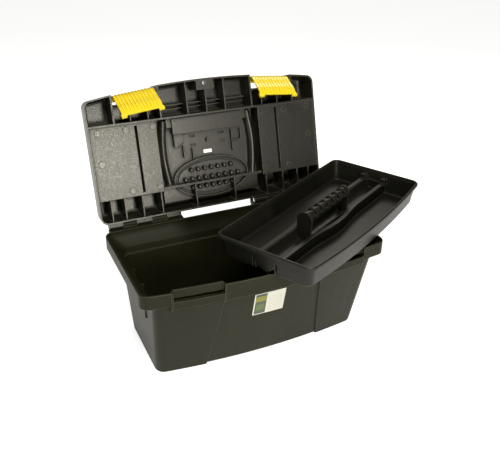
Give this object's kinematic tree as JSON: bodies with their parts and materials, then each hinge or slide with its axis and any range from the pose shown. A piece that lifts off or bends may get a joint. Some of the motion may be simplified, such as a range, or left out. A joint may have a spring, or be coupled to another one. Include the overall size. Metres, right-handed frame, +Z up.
{
  "type": "toolbox with tray",
  "caption": "Moulded plastic toolbox shown open: flared box, hinged lid with parts bins and carry handle, draw-down latches and a lift-out tray laid across the rim.",
  "frame": {"origin": "centre of the round pad under the middle of the base", "axes": "+X along the box to its right end, +Y from the latches to the hinges, +Z up"},
  "size_m": [0.5385, 0.391, 0.3872],
  "materials": {
    "body_plastic": "matte charcoal polypropylene, fine grain",
    "lid_plastic": "satin charcoal polypropylene",
    "tray_plastic": "satin charcoal polypropylene",
    "latch_plastic": "satin yellow polypropylene",
    "cover_plastic": "satin charcoal polypropylene",
    "pin_steel": "plain drawn wire",
    "label_film": "printed paper sticker"
  },
  "bodies": {
    "box": {"box_body": "body_plastic", "front_label": "label_film", "hinge_pin_left": "pin_steel", "hinge_pin_right": "pin_steel"},
    "lid": {"lid_shell": "lid_plastic", "latch_pin_left": "pin_steel", "latch_pin_right": "pin_steel", "carry_handle_pin_left": "pin_steel", "carry_handle_pin_right": "pin_steel"},
    "latch_left": {"latch_left": "latch_plastic"},
    "latch_right": {"latch_right": "latch_plastic"},
    "carry_handle": {"carry_handle": "lid_plastic"},
    "bin_cover_left": {"bin_cover_left": "cover_plastic"},
    "bin_cover_right": {"bin_cover_right": "cover_plastic"},
    "tray": {"tray": "tray_plastic", "tray_handle": "tray_plastic"}
  },
  "joints": [
    {"name": "lid_hinge", "type": "hinge", "parent": "box", "child": "lid", "pos_m": [0, 0.117, 0.174], "axis": [1, 0, 0], "range_deg": [0, 106]},
    {"name": "latch_left_pivot", "type": "hinge", "parent": "lid", "child": "latch_left", "pos_m": [-0.1215, 0.18965, 0.3657], "axis": [-0.9957, -0.0255, -0.0888], "range_deg": [0, 130]},
    {"name": "latch_right_pivot", "type": "hinge", "parent": "lid", "child": "latch_right", "pos_m": [0.1215, 0.18965, 0.3657], "axis": [-0.9957, 0.0255, 0.0888], "range_deg": [0, 130]},
    {"name": "carry_handle_pivot", "type": "hinge", "parent": "lid", "child": "carry_handle", "pos_m": [0, 0.17809, 0.2782], "axis": [1, 0, 0], "range_deg": [0, 90]},
    {"name": "bin_cover_left_hinge", "type": "hinge", "parent": "lid", "child": "bin_cover_left", "pos_m": [-0.144, 0.1647, 0.2061], "axis": [-1, 0, 0], "range_deg": [0, 95]},
    {"name": "bin_cover_right_hinge", "type": "hinge", "parent": "lid", "child": "bin_cover_right", "pos_m": [0.144, 0.1647, 0.2061], "axis": [-1, 0, 0], "range_deg": [0, 95]},
    {"name": "tray_lift", "type": "slide", "parent": "box", "child": "tray", "axis": [0, -0.98, 0.199], "range_m": [0, 0.3]}
  ],
  "couplings": [
    {"joint": "tray_lift", "follows": "lid_hinge", "m_per_rad": 0.162}
  ]
}
